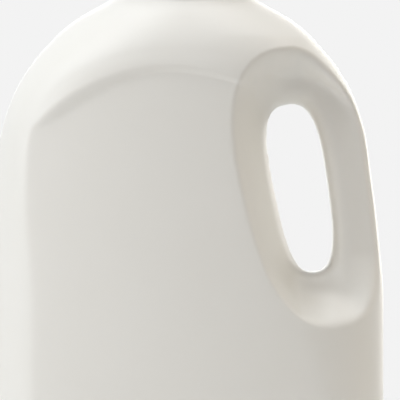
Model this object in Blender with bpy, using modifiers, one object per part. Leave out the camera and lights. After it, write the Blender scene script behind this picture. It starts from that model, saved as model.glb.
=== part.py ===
"""Laundry detergent bottle: a blow-moulded jug with a pinched through-handle,
a drain-back pour spout pressed into its neck, a loose sealing ring and a screw
cap that serves as the measuring cup. Metres, +Z up, the bottle stands on z = 0,
its front faces -Y and its handle is at +X."""

import math

import bmesh
import bpy
import numpy as np
from mathutils import Matrix

MM = 0.001

# Body
BODY_WIDTH = 199.6 * MM
BODY_DEPTH = 101.0 * MM
LAND_HEIGHT = 247.0 * MM
SHOULDER_DROP = 150.0 * MM
CROWN_DROP = 62.0 * MM
# Each pair is a share of the drop below the land and a share of the full half size
WIDTH_shares = ((0.0, 0.363), (0.067, 0.539), (0.167, 0.699), (0.267, 0.809),
                (0.4, 0.892), (0.6, 0.944), (0.8, 0.980), (1.0, 1.0))
DEPTH_shares = ((0.0, 0.66), (0.16, 0.8), (0.355, 0.925), (0.51, 0.978), (0.73, 0.996), (1.0, 1.0))
NECK_ROUNDNESS = 2.0
SHOULDER_ROUNDNESS = 3.3
BODY_ROUNDNESS = 2.65
HANDLE_SIDE_ROUNDNESS = 2.3
HANDLE_SIDE_FOOT_Z = 30.0 * MM
HANDLE_SIDE_RISE = 60.0 * MM
WALL = 1.4 * MM

# Foot of the body
HEEL_RADIUS = 11.0 * MM
FOOT_RING_WIDTH = 9.0 * MM
PUSH_UP_HEIGHT = 4.0 * MM
PUSH_UP_SLOPE = 12.0 * MM
FOOT_TRIM = 0.2 * MM

# Recessed label panel, the same on the front and the back
PANEL_DEPTH = 96.0 * MM
PANEL_CURVE_RADIUS = 345.0 * MM
PANEL_ARC_RADIUS = 92.8 * MM
PANEL_ARC_X = -6.9 * MM
PANEL_ARC_Z = 121.1 * MM
PANEL_EDGE_RADIUS = 3.0 * MM
PANEL_EDGE_SLOPE = 0.55
PANEL_FOOT_Z = 27.0 * MM
PANEL_BLEND = 1.0 * MM
CREASE_BLEND = 0.5 * MM

# Handle: the egg-shaped pinch and the finger hole through it
PINCH_X = 64.4 * MM
PINCH_Z = 154.1 * MM
PINCH_INNER_HALF_WIDTH = 36.6 * MM
PINCH_OUTER_HALF_WIDTH = 26.8 * MM
PINCH_HALF_HEIGHT = 70.8 * MM
PINCH_ROUNDNESS = 2.51
PINCH_LEAN = math.radians(12.25)
PINCH_TAPER_share = 0.038
PINCH_EDGE = 4.0 * MM
PINCH_STEEPNESS = 4.5
PINCH_BLEND = 5.0 * MM
PINCH_ROLL = 7.0 * MM
PINCH_SCOOP = 1.35
PINCH_SCOOP_BLEND = 0.12
PINCH_LEAST_SPAN = 0.1 * MM
PINCH_LOW_Z = 122.0 * MM
PINCH_LOW_RISE = 26.0 * MM
HOLE_X = 58.5 * MM
HOLE_Z = 153.0 * MM
HOLE_HALF_WIDTH = 13.7 * MM
HOLE_HALF_HEIGHT = 42.5 * MM
HOLE_ROUNDNESS = 3.0
HOLE_LEAN = math.radians(9.7)
HOLE_TAPER_share = 0.09
HANDLE_THICKNESS = 34.0 * MM
HANDLE_EDGE_RADIUS = 9.0 * MM
HANDLE_TILT = 0.32
BODY_SIDE_EDGE_RADIUS = 3.0 * MM
RIM_RADIUS = 4.0 * MM

# Surface of the form before it is thinned out
COLUMN_COUNT = 300
ROW_COUNT = 130
HEEL_ROW_COUNT = 7
FORM_VOXEL = 1.6 * MM
FORM_SMOOTHING = 4
OUTSIDE_FACES_share = 0.034
INSIDE_FACES_share = 0.02

# Neck
NECK_RADIUS = 28.5 * MM
NECK_WALL = 1.8 * MM
NECK_HEIGHT = 20.0 * MM
NECK_ROOT = 0.9 * MM
NECK_BEAD = 1.2 * MM
NECK_BEAD_HEIGHT = 3.0 * MM

# Gap that touching pieces keep, and how far a cutter runs past what it cuts
GAP = 0.3 * MM
OVERRUN = 3.0 * MM

# Pour spout
SPOUT_WALL = 1.3 * MM
SPOUT_FLANGE = 1.5 * MM
SPOUT_FLANGE_REACH = 1.0 * MM
SPOUT_SKIRT_DEPTH = 15.0 * MM
SPOUT_TUBE_RADIUS = 13.0 * MM
SPOUT_RISE = 29.0 * MM
SPOUT_TRAY_FALL = 2.0 * MM
SPOUT_LIP_ANGLE = math.radians(34.0)
DRAIN_WIDTH = 6.0 * MM
DRAIN_HEIGHT = 5.0 * MM

# Sealing ring between the cap and the spout's flange
SEAL_THICKNESS = 1.2 * MM
SEAL_WIDTH = 4.5 * MM

# Cap
CAP_RADIUS = 35.0 * MM
CAP_WALL = 1.8 * MM
CAP_LEDGE = 2.0 * MM
CAP_HEIGHT = 64.0 * MM
CAP_CUP_RADIUS = 30.2 * MM
CAP_CUP_TAPER = 2.2 * MM
CAP_EDGE = 1.6 * MM
CAP_BAND = 5.0 * MM
RIB_COUNT = 60
RIB_DEPTH = 0.8 * MM
TURN_STEPS = 72

LAND_GAP = 2 * GAP
RIM_Z = LAND_HEIGHT + NECK_HEIGHT
FLANGE_Z = RIM_Z + GAP
SEAL_Z = FLANGE_Z + SPOUT_FLANGE + GAP
LEDGE_Z = SEAL_Z + SEAL_THICKNESS + GAP
CAP_Z = LAND_HEIGHT + LAND_GAP
SPOUT_OUTER_RADIUS = NECK_RADIUS - NECK_WALL - GAP
FLANGE_RADIUS = NECK_RADIUS + SPOUT_FLANGE_REACH


def clear_scene():
    for thing in list(bpy.data.objects):
        bpy.data.objects.remove(thing, do_unlink=True)


def make_collection(name):
    group = bpy.data.collections.new(name)
    bpy.context.scene.collection.children.link(group)
    return group


def make_material(name, colour, roughness):
    material = bpy.data.materials.new(name)
    material.use_nodes = True
    shader = material.node_tree.nodes["Principled BSDF"]
    shader.inputs["Base Color"].default_value = (*colour, 1.0)
    shader.inputs["Roughness"].default_value = roughness
    shader.inputs["Metallic"].default_value = 0.0
    material.diffuse_color = (*colour, 1.0)
    return material


def add_object(name, mesh, group, material=None):
    thing = bpy.data.objects.new(name, mesh)
    group.objects.link(thing)
    if material:
        mesh.materials.append(material)
    return thing


def hide_guide(thing):
    thing.hide_render = True
    thing.display_type = "WIRE"
    return thing


def boolean(thing, operation, cutter):
    step = thing.modifiers.new(cutter.name, "BOOLEAN")
    step.operation = operation
    step.object = cutter
    return step


def turned(name, profile, group, material=None, steps=TURN_STEPS):
    """Turn a profile of (radius, height) pairs round the Z axis. It runs down the outer side."""
    mesh = bpy.data.meshes.new(name)
    closed = profile[0][0] > 0.0
    last = len(profile) - 1
    edges = [(i, i + 1) for i in range(last)]
    if closed:
        edges.append((last, 0))
    mesh.from_pydata([(radius, 0.0, height) for radius, height in profile], edges, [])
    thing = add_object(name, mesh, group, material)
    screw = thing.modifiers.new("turn", "SCREW")
    screw.steps = steps
    screw.render_steps = steps
    screw.use_merge_vertices = True
    screw.merge_threshold = 0.00001
    return thing


def baked_mesh(thing, name):
    """The mesh of an object as its modifiers leave it."""
    graph = bpy.context.evaluated_depsgraph_get()
    return bpy.data.meshes.new_from_object(thing.evaluated_get(graph), depsgraph=graph)


def shade_round(thing, angle=35.0):
    thing.data.shade_smooth()
    thing.data.set_sharp_from_angle(angle=math.radians(angle))


def ease(t):
    """Smooth step from 0 to 1."""
    t = np.clip(t, 0.0, 1.0)
    return t * t * (3.0 - 2.0 * t)


def curve_through(points, t):
    """Smooth curve through (share, value) pairs, with the slopes of a Catmull-Rom spline."""
    xs = np.array([x for x, _ in points])
    ys = np.array([y for _, y in points])
    slopes = np.gradient(ys, xs)
    slopes[-1] = 0.0
    t = np.clip(t, xs[0], xs[-1])
    i = np.clip(np.searchsorted(xs, t) - 1, 0, len(xs) - 2)
    width = xs[i + 1] - xs[i]
    s = (t - xs[i]) / width
    start = (1.0 + 2.0 * s) * (1.0 - s) ** 2 * ys[i] + s * (1.0 - s) ** 2 * width * slopes[i]
    end = s * s * (3.0 - 2.0 * s) * ys[i + 1] - s * s * (1.0 - s) * width * slopes[i + 1]
    return start + end


def section_size(z):
    """Half width, half depth, and roundness of the plain side and the handle side, at height z."""
    drop = LAND_HEIGHT - z
    width = BODY_WIDTH / 2 * curve_through(WIDTH_shares, drop / SHOULDER_DROP)
    depth = BODY_DEPTH / 2 * curve_through(DEPTH_shares, drop / CROWN_DROP)
    crown = ease(drop / CROWN_DROP)
    side = ease((drop - CROWN_DROP) / (SHOULDER_DROP - CROWN_DROP))
    roundness = NECK_ROUNDNESS + (SHOULDER_ROUNDNESS - NECK_ROUNDNESS) * crown
    roundness += (BODY_ROUNDNESS - SHOULDER_ROUNDNESS) * side
    squarer = np.maximum(roundness - HANDLE_SIDE_ROUNDNESS, 0.0)
    handle_side = roundness - squarer * ease((z - HANDLE_SIDE_FOOT_Z) / HANDLE_SIDE_RISE)
    return width, depth, roundness, handle_side


def egg_reach(x, z, half_widths, half_height, roundness, taper=0.0):
    """1 on an egg's outline, less inside it. The taper makes its upper end the fuller one."""
    half_width = np.where(x < 0.0, half_widths[0], half_widths[1])
    across = np.abs(x) / (half_width * (1.0 + taper * z / half_height))
    along = np.abs(z) / half_height
    return (across ** roundness + along ** roundness) ** (1.0 / roundness)


def egg_distance(x, z, centre, lean, half_widths, half_height, roundness, taper=0.0):
    """Distance outwards from the outline of an egg whose top leans towards -X."""
    dx = x - centre[0]
    dz = z - centre[1]
    across = dx * math.cos(lean) + dz * math.sin(lean)
    along = dz * math.cos(lean) - dx * math.sin(lean)
    size = (half_widths, half_height, roundness, taper)
    step = half_height / 1000
    here = egg_reach(across, along, *size)
    slope_x = (egg_reach(across + step, along, *size) - egg_reach(across - step, along, *size)) / 2
    slope_z = (egg_reach(across, along + step, *size) - egg_reach(across, along - step, *size)) / 2
    steepness = np.maximum(np.hypot(slope_x, slope_z) / step, 1.0 / half_height)
    return (here - 1.0) / steepness


def hole_distance(x, z):
    return egg_distance(x, z, (HOLE_X, HOLE_Z), HOLE_LEAN, (HOLE_HALF_WIDTH, HOLE_HALF_WIDTH),
                        HOLE_HALF_HEIGHT, HOLE_ROUNDNESS, HOLE_TAPER_share)


def pinch_distance(x, z):
    return egg_distance(x, z, (PINCH_X, PINCH_Z), PINCH_LEAN,
                        (PINCH_INNER_HALF_WIDTH, PINCH_OUTER_HALF_WIDTH),
                        PINCH_HALF_HEIGHT, PINCH_ROUNDNESS, PINCH_TAPER_share)


def over_both(a, b, blend):
    """The larger of two values, with the crease between them rounded off."""
    return (a + b + np.hypot(a - b, blend)) / 2


def under_both(a, b, blend):
    """The smaller of two values, with the crease between them rounded off."""
    return (a + b - np.hypot(a - b, blend)) / 2


def sunk_panel(x, z, depth):
    """Press the half depth in below the panel's arched top and above its foot."""
    below_arc = PANEL_ARC_RADIUS - np.hypot(x - PANEL_ARC_X, np.maximum(z - PANEL_ARC_Z, 0.0))
    inward = np.minimum(np.where(z > PANEL_ARC_Z, below_arc, BODY_WIDTH), z - PANEL_FOOT_Z)
    inward = np.maximum(inward, 0.0)
    step = depth - PANEL_EDGE_SLOPE * (np.hypot(inward, PANEL_EDGE_RADIUS) - PANEL_EDGE_RADIUS)
    panel = PANEL_DEPTH / 2 - x * x / (2 * PANEL_CURVE_RADIUS)
    return under_both(depth, over_both(panel, step, CREASE_BLEND), PANEL_BLEND)


def edge_rounding(distance, radius):
    """How much the half depth falls near a rounded edge of the handle that lies this far away."""
    near = np.clip(radius - distance, 0.0, radius)
    return radius - np.sqrt(radius ** 2 - near ** 2)


def pinched(x, z, depth, half_width):
    """The half depth inside the egg.

    Beside and above the hole the wall rolls over and runs straight down to the hole's edge. Below
    the hole it is a scoop. On the handle's side it drops steeply to the handle's slanted face.
    """
    inward = np.maximum(-pinch_distance(x, z), 0.0)
    outward = np.maximum(hole_distance(x, z), 0.0)
    low = ease((PINCH_LOW_Z - z) / PINCH_LOW_RISE)
    across = (x - HOLE_X) * math.cos(HOLE_LEAN) + (z - HOLE_Z) * math.sin(HOLE_LEAN)
    to_handle = ease((across + HOLE_HALF_WIDTH) / (2 * HOLE_HALF_WIDTH))
    grip = HANDLE_THICKNESS / 2 - HANDLE_TILT * np.maximum(across - HOLE_HALF_WIDTH, 0.0)
    span = inward + outward + PINCH_LEAST_SPAN
    share, roll = outward / span, PINCH_ROLL / span
    straight = 1.0 - (np.hypot(1.0 - share, roll) - roll) / (np.hypot(1.0, roll) - roll)
    scoop = under_both(PINCH_SCOOP * share ** 2, 1.0, PINCH_SCOOP_BLEND)
    rise = (straight + (scoop - straight) * low) * (1.0 - to_handle * (1.0 - low))
    wall = depth - PINCH_STEEPNESS * (np.hypot(inward, PINCH_EDGE) - PINCH_EDGE)
    floor = np.minimum(over_both(wall, grip + (depth - grip) * rise, PINCH_BLEND * (1.0 - rise)), depth)
    rim = BODY_SIDE_EDGE_RADIUS + (HANDLE_EDGE_RADIUS - BODY_SIDE_EDGE_RADIUS) * to_handle
    rounded = np.maximum(floor - edge_rounding(outward, rim), np.minimum(floor, rim / 2))
    side = grip - edge_rounding(half_width - x, RIM_RADIUS)
    at_side = (half_width - x < RIM_RADIUS) * ease(inward / RIM_RADIUS)
    return rounded - np.maximum(rounded - side, 0.0) * at_side


def body_rows():
    """(height, inset) of each level row, from the middle of the push-up to the land."""
    foot = -FOOT_TRIM
    ring_in = HEEL_RADIUS + FOOT_RING_WIDTH
    rows = [(foot + PUSH_UP_HEIGHT, ring_in + PUSH_UP_SLOPE)]
    for i in range(HEEL_ROW_COUNT):
        share = i / HEEL_ROW_COUNT
        rows.append((foot + PUSH_UP_HEIGHT * (1.0 - ease(share)), ring_in + PUSH_UP_SLOPE * (1.0 - share)))
    rows.append((foot, ring_in))
    for i in range(HEEL_ROW_COUNT):
        turn = math.pi / 2 * i / HEEL_ROW_COUNT
        rows.append((foot + HEEL_RADIUS * (1.0 - math.cos(turn)), HEEL_RADIUS * (1.0 - math.sin(turn))))
    low = foot + HEEL_RADIUS
    for i in range(ROW_COUNT + 1):
        rows.append((low + (LAND_HEIGHT - low) * i / ROW_COUNT, 0.0))
    return rows[1:]


def body_skin():
    """Loft of the level sections, pressed in at the label panels and at the handle."""
    turn = np.linspace(0.0, 2 * math.pi, COLUMN_COUNT, endpoint=False)
    cos, sin = np.cos(turn), np.sin(turn)
    points = []
    for z, inset in body_rows():
        width, depth, plain_side, handle_side = section_size(z)
        roundness = np.where(cos > 0.0, handle_side, plain_side)
        x = (width - inset) * np.sign(cos) * np.abs(cos) ** (2.0 / roundness)
        y = (depth - inset) * np.sign(sin) * np.abs(sin) ** (2.0 / roundness)
        pressed = pinched(x, z, sunk_panel(x, z, np.abs(y)), width)
        y = np.sign(y) * np.minimum(np.abs(y), pressed)
        points.extend(zip(x.tolist(), y.tolist(), [z] * COLUMN_COUNT))
    row_total = len(points) // COLUMN_COUNT
    faces = [tuple(reversed(range(COLUMN_COUNT)))]
    for row in range(row_total - 1):
        low, high = row * COLUMN_COUNT, (row + 1) * COLUMN_COUNT
        for i in range(COLUMN_COUNT):
            j = (i + 1) % COLUMN_COUNT
            faces.append((low + i, low + j, high + j, high + i))
    top = (row_total - 1) * COLUMN_COUNT
    faces.append(tuple(range(top, top + COLUMN_COUNT)))
    mesh = bpy.data.meshes.new("body_skin")
    mesh.from_pydata(points, [], faces)
    return mesh


def hole_outline(count=56):
    """Points round the finger hole, in its own leaning frame set back in the bottle's."""
    points = []
    for i in range(count):
        turn = 2 * math.pi * i / count
        cos, sin = math.cos(turn), math.sin(turn)
        power = 2.0 / HOLE_ROUNDNESS
        along = HOLE_HALF_HEIGHT * math.copysign(abs(sin) ** power, sin)
        across = HOLE_HALF_WIDTH * math.copysign(abs(cos) ** power, cos)
        across *= 1.0 + HOLE_TAPER_share * along / HOLE_HALF_HEIGHT
        x = HOLE_X + across * math.cos(HOLE_LEAN) - along * math.sin(HOLE_LEAN)
        z = HOLE_Z + across * math.sin(HOLE_LEAN) + along * math.cos(HOLE_LEAN)
        points.append((x, z))
    return points


def hole_cutter(group):
    """The finger hole as a flat outline with thickness, standing in the parting plane."""
    flat = bpy.data.curves.new("finger_hole", "CURVE")
    flat.dimensions = "2D"
    flat.fill_mode = "BOTH"
    flat.extrude = BODY_DEPTH / 2 + OVERRUN
    outline = hole_outline()
    line = flat.splines.new("POLY")
    line.points.add(len(outline) - 1)
    for point, (x, z) in zip(line.points, outline):
        point.co = (x, z, 0.0, 1.0)
    line.use_cyclic_u = True
    curve = bpy.data.objects.new("finger_hole", flat)
    group.objects.link(curve)
    bpy.context.view_layer.update()
    mesh = baked_mesh(curve, "finger_hole")
    bpy.data.objects.remove(curve, do_unlink=True)
    mesh.transform(Matrix.Rotation(math.pi / 2, 4, "X"))
    work = bmesh.new()
    work.from_mesh(mesh)
    bmesh.ops.remove_doubles(work, verts=work.verts, dist=GAP / 100)
    bmesh.ops.recalc_face_normals(work, faces=work.faces)
    work.to_mesh(mesh)
    work.free()
    return hide_guide(add_object("finger_hole", mesh, group))


def body_form(group):
    """The bottle's outside as one soft surface, as it leaves the mould."""
    form = hide_guide(add_object("body_form", body_skin(), group))
    boolean(form, "DIFFERENCE", hole_cutter(group))
    remesh = form.modifiers.new("even_faces", "REMESH")
    remesh.mode = "VOXEL"
    remesh.voxel_size = FORM_VOXEL
    smooth = form.modifiers.new("soft_edges", "SMOOTH")
    smooth.factor = 0.5
    smooth.iterations = FORM_SMOOTHING
    bpy.context.view_layer.update()
    mesh = baked_mesh(form, "body_form")
    form.modifiers.clear()
    form.data = mesh
    return form


def thin_out(thing, share):
    step = thing.modifiers.new("thin_out", "DECIMATE")
    step.ratio = share
    return step


def box_cutter(name, low, high, group):
    mesh = bpy.data.meshes.new(name)
    work = bmesh.new()
    size = [b - a for a, b in zip(low, high)]
    middle = [(a + b) / 2 for a, b in zip(low, high)]
    place = Matrix.Translation(middle) @ Matrix.Diagonal((*size, 1.0))
    bmesh.ops.create_cube(work, size=1.0, matrix=place)
    work.to_mesh(mesh)
    work.free()
    return hide_guide(add_object(name, mesh, group))


def make_bottle(parts, cutters, material):
    form = body_form(cutters)
    cavity = hide_guide(add_object("cavity", form.data.copy(), cutters))
    inward = cavity.modifiers.new("wall", "DISPLACE")
    inward.strength = -WALL
    inward.mid_level = 0.0
    thin_out(cavity, INSIDE_FACES_share)
    neck = hide_guide(turned("neck", [
        (0.0, RIM_Z),
        (NECK_RADIUS, RIM_Z),
        (NECK_RADIUS, LAND_HEIGHT + NECK_BEAD_HEIGHT),
        (NECK_RADIUS + NECK_BEAD, LAND_HEIGHT + NECK_BEAD_HEIGHT / 2),
        (NECK_RADIUS + NECK_BEAD, LAND_HEIGHT - NECK_ROOT),
        (0.0, LAND_HEIGHT - NECK_ROOT)], cutters))
    bore_radius = NECK_RADIUS - NECK_WALL
    bore = hide_guide(turned("neck_bore", [
        (0.0, RIM_Z + OVERRUN),
        (bore_radius, RIM_Z + OVERRUN),
        (bore_radius, LAND_HEIGHT - WALL - OVERRUN),
        (0.0, LAND_HEIGHT - WALL - OVERRUN)], cutters))
    reach = BODY_WIDTH / 2 + OVERRUN
    under = box_cutter("standing_plane", (-reach, -reach, -OVERRUN), (reach, reach, 0.0), cutters)
    bottle = add_object("bottle", form.data.copy(), parts, material)
    thin_out(bottle, OUTSIDE_FACES_share)
    boolean(bottle, "DIFFERENCE", under)
    boolean(bottle, "UNION", neck)
    boolean(bottle, "DIFFERENCE", cavity)
    boolean(bottle, "DIFFERENCE", bore)
    shade_round(bottle)
    return bottle


def make_spout(parts, cutters, material):
    """A skirt in the neck, a sloping drain-back tray and a tube with a slanting lip."""
    top = FLANGE_Z + SPOUT_FLANGE
    tray = RIM_Z - SPOUT_SKIRT_DEPTH
    inner = SPOUT_TUBE_RADIUS - SPOUT_WALL
    tip = top + SPOUT_RISE
    tray_out = SPOUT_OUTER_RADIUS - SPOUT_WALL
    spout = turned("pour_spout", [
        (FLANGE_RADIUS, top),
        (FLANGE_RADIUS, FLANGE_Z),
        (SPOUT_OUTER_RADIUS, FLANGE_Z),
        (SPOUT_OUTER_RADIUS, tray),
        (SPOUT_TUBE_RADIUS, tray - SPOUT_TRAY_FALL),
        (inner, tray - SPOUT_TRAY_FALL),
        (inner, tip),
        (SPOUT_TUBE_RADIUS, tip),
        (SPOUT_TUBE_RADIUS, tray + SPOUT_WALL - SPOUT_TRAY_FALL),
        (tray_out, tray + SPOUT_WALL),
        (tray_out, top)], parts, material)
    reach = SPOUT_TUBE_RADIUS + OVERRUN
    lip = box_cutter("lip_cut", (-reach, -reach, 0.0), (2 * reach, reach, SPOUT_RISE), cutters)
    lip.location = (-SPOUT_TUBE_RADIUS, 0.0, tip)
    lip.rotation_euler = (0.0, SPOUT_LIP_ANGLE, 0.0)
    drain = box_cutter("drain_slot", (0.0, -DRAIN_WIDTH / 2, -DRAIN_HEIGHT / 2),
                       (SPOUT_TUBE_RADIUS + SPOUT_WALL, DRAIN_WIDTH / 2, DRAIN_HEIGHT / 2), cutters)
    drain.location = (0.0, 0.0, tray + DRAIN_HEIGHT / 2)
    boolean(spout, "DIFFERENCE", lip)
    boolean(spout, "DIFFERENCE", drain)
    shade_round(spout)
    return spout


def make_seal(parts, material):
    outer = FLANGE_RADIUS
    seal = turned("sealing_ring", [
        (outer, SEAL_Z + SEAL_THICKNESS),
        (outer, SEAL_Z),
        (outer - SEAL_WIDTH, SEAL_Z),
        (outer - SEAL_WIDTH, SEAL_Z + SEAL_THICKNESS)], parts, material)
    shade_round(seal)
    return seal


def rib_grooves(low, high, group):
    """V-shaped grooves round the skirt, which leave the grip ribs standing."""
    work = bmesh.new()
    pitch = 2 * math.pi / RIB_COUNT
    half = CAP_RADIUS * pitch / 3
    outside = CAP_RADIUS + RIB_DEPTH
    inside = CAP_RADIUS - RIB_DEPTH
    for i in range(RIB_COUNT):
        spin = Matrix.Rotation(i * pitch, 4, "Z")
        corners = ((inside, 0.0), (outside, -half), (outside, half))
        face = work.faces.new([work.verts.new(spin @ Matrix.Translation((x, y, low)).to_translation())
                               for x, y in corners])
        up = bmesh.ops.extrude_face_region(work, geom=[face])
        raised = [part for part in up["geom"] if isinstance(part, bmesh.types.BMVert)]
        bmesh.ops.translate(work, verts=raised, vec=(0.0, 0.0, high - low))
    bmesh.ops.recalc_face_normals(work, faces=work.faces)
    mesh = bpy.data.meshes.new("rib_grooves")
    work.to_mesh(mesh)
    work.free()
    return hide_guide(add_object("rib_grooves", mesh, group))


def make_cap(parts, cutters, material):
    """A ribbed skirt over the neck, a ledge over the sealing ring and the measuring cup."""
    top = CAP_Z + CAP_HEIGHT
    step = LEDGE_Z + CAP_LEDGE
    cup_top = CAP_CUP_RADIUS - CAP_CUP_TAPER
    cup_in = CAP_CUP_RADIUS - CAP_WALL
    skirt_in = CAP_RADIUS - CAP_WALL
    cap = turned("measuring_cap", [
        (0.0, top),
        (cup_top - CAP_EDGE, top),
        (cup_top, top - CAP_EDGE),
        (CAP_CUP_RADIUS, step),
        (CAP_RADIUS - CAP_EDGE, step),
        (CAP_RADIUS, step - CAP_EDGE),
        (CAP_RADIUS, CAP_Z),
        (skirt_in, CAP_Z),
        (skirt_in, LEDGE_Z),
        (cup_in, LEDGE_Z),
        (cup_top - CAP_WALL, top - CAP_WALL),
        (0.0, top - CAP_WALL)], parts, material, 2 * RIB_COUNT)
    boolean(cap, "DIFFERENCE", rib_grooves(CAP_Z + CAP_BAND, step - CAP_EDGE, cutters))
    shade_round(cap)
    return cap


def main():
    clear_scene()
    parts = make_collection("laundry_detergent_bottle")
    cutters = make_collection("cutters")
    bottle_white = make_material("satin_hdpe", (0.80, 0.80, 0.75), 0.42)
    cap_white = make_material("cap_polypropylene", (0.82, 0.82, 0.79), 0.35)
    spout_white = make_material("spout_ldpe", (0.78, 0.78, 0.74), 0.4)
    foam_white = make_material("pe_foam", (0.86, 0.86, 0.84), 0.8)
    make_bottle(parts, cutters, bottle_white)
    make_spout(parts, cutters, spout_white)
    make_seal(parts, foam_white)
    make_cap(parts, cutters, cap_white)


main()
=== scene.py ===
# %% [markdown]
# # A laundry detergent bottle, dressed for the camera
#
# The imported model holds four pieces: the bottle, its pour spout, a sealing ring and the measuring
# cap. Their sizes and places are settled there. This lesson makes the fine surface of each one, its
# plastic, and the studio round it. Everything is in metres, with +Z up and the front towards -Y.

# %% Load the frame
import math

import bpy
import numpy as np
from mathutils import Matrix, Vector


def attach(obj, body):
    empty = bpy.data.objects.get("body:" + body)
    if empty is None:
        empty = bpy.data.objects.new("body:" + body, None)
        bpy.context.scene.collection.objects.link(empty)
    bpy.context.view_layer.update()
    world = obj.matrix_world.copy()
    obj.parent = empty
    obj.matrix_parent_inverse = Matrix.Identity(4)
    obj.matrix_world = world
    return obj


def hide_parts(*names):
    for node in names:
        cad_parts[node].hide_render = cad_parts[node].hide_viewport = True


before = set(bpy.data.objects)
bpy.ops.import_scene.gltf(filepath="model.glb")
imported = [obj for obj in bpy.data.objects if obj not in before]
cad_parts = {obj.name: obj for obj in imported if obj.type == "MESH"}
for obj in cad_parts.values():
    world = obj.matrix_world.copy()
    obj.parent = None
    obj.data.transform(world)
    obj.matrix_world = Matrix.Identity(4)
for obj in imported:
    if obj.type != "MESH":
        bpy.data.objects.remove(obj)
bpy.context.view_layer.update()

MM = 0.001

# %% [markdown]
# ## Working as by hand
#
# An operator acts on whatever is selected, and loading the frame leaves its nodes selected. So each
# step starts from a clean selection, and these helpers keep that habit in one place.


# %% Helpers for operators
def deselect():
    bpy.ops.object.select_all(action="DESELECT")


def select_only(thing):
    deselect()
    thing.select_set(True)
    bpy.context.view_layer.objects.active = thing
    return thing


def newest(name):
    """The object that the last primitive added, under its own name."""
    thing = bpy.context.active_object
    thing.name = name
    thing.data.name = name
    return thing


def apply_modifier(thing, name, kind, **settings):
    step = thing.modifiers.new(name, kind)
    for key, value in settings.items():
        setattr(step, key, value)
    select_only(thing)
    bpy.ops.object.modifier_apply(modifier=step.name)
    return thing


def apply_place(thing):
    select_only(thing)
    bpy.ops.object.transform_apply(location=True, rotation=True, scale=True)
    return thing


def edit_all(thing):
    """Enter edit mode with everything selected."""
    select_only(thing)
    bpy.ops.object.mode_set(mode="EDIT")
    bpy.ops.mesh.select_all(action="SELECT")


def leave_edit():
    bpy.ops.object.mode_set(mode="OBJECT")


def face_outwards():
    """In edit mode: turn all faces outwards."""
    bpy.ops.mesh.select_all(action="SELECT")
    bpy.ops.mesh.normals_make_consistent(inside=False)


def remove(thing):
    bpy.data.objects.remove(thing, do_unlink=True)


def get_points(thing):
    points = np.empty(len(thing.data.vertices) * 3)
    thing.data.vertices.foreach_get("co", points)
    return points.reshape(-1, 3)


def set_points(thing, points):
    thing.data.vertices.foreach_set("co", np.asarray(points, dtype=float).ravel())
    thing.data.update()


def select_points(thing, mask):
    """Set edit mode's vertex selection to exactly the points of a mask."""
    select_only(thing)
    bpy.ops.object.mode_set(mode="EDIT")
    bpy.ops.mesh.select_mode(type="VERT")
    bpy.ops.mesh.select_all(action="DESELECT")
    leave_edit()
    thing.data.vertices.foreach_set("select", np.asarray(mask, dtype=bool))
    thing.data.update()


def weighted_group(thing, name, weights):
    """The name of a new vertex group, with which a modifier acts more or less at each point."""
    group = thing.vertex_groups.new(name=name)
    for i, weight in enumerate(weights):
        group.add([i], float(weight), "REPLACE")
    return group.name


def rounded_block(name, location, size, rounding, segments):
    """A box whose edges are rounded, as a moulding tool's are."""
    deselect()
    bpy.ops.mesh.primitive_cube_add(size=1.0, location=location, scale=size)
    block = apply_place(newest(name))
    edit_all(block)
    bpy.ops.mesh.bevel(offset=rounding, segments=segments)
    leave_edit()
    return block


def cut_or_join(thing, other, operation):
    """A Boolean with another object, which is used up."""
    apply_modifier(thing, operation.lower(), "BOOLEAN", operation=operation, object=other)
    remove(other)
    return thing


def smooth_faces(thing, angle=35.0):
    select_only(thing)
    bpy.ops.object.shade_smooth_by_angle(angle=math.radians(angle))
    triangles = sum(len(face.vertices) - 2 for face in thing.data.polygons)
    sides = [round(side / MM, 1) for side in thing.dimensions]
    print(thing.name, "has", triangles, "triangles and is", sides, "mm")
    return thing


# %% [markdown]
# ## The camera
#
# The photograph is a close view, level with the middle of the bottle and almost without perspective,
# so it was taken from well back with a long lens. Its frame is about 200 mm wide at the bottle. The
# lens follows from that width, the distance and the sensor.

# %% Camera
VIEW_WIDTH = 200.0 * MM
VIEW_CENTRE = Vector((8.25 * MM, 0.0, 147.0 * MM))
CAMERA_DISTANCE = 2.0
SENSOR_MM = 36.0

camera_data = bpy.data.cameras.new("camera")
camera_data.sensor_width = SENSOR_MM
camera_data.lens = SENSOR_MM * CAMERA_DISTANCE / VIEW_WIDTH
camera_data.clip_end = 20.0
camera = bpy.data.objects.new("camera", camera_data)
camera.location = VIEW_CENTRE + Vector((0.0, -CAMERA_DISTANCE, 0.0))
camera.rotation_euler = (math.pi / 2, 0.0, 0.0)
bpy.context.scene.collection.objects.link(camera)
bpy.context.scene.camera = camera
print("lens", round(camera_data.lens), "mm")

# %% [markdown]
# ## The bottle's own measures
#
# The real bottle is one skin of plastic, blown against the walls of a mould. A mould is cut from a
# few measures: how the width and the depth grow below the neck, how square each level section is,
# where the label panels are pressed in and where the two halves pinch together to make the handle.

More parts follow.
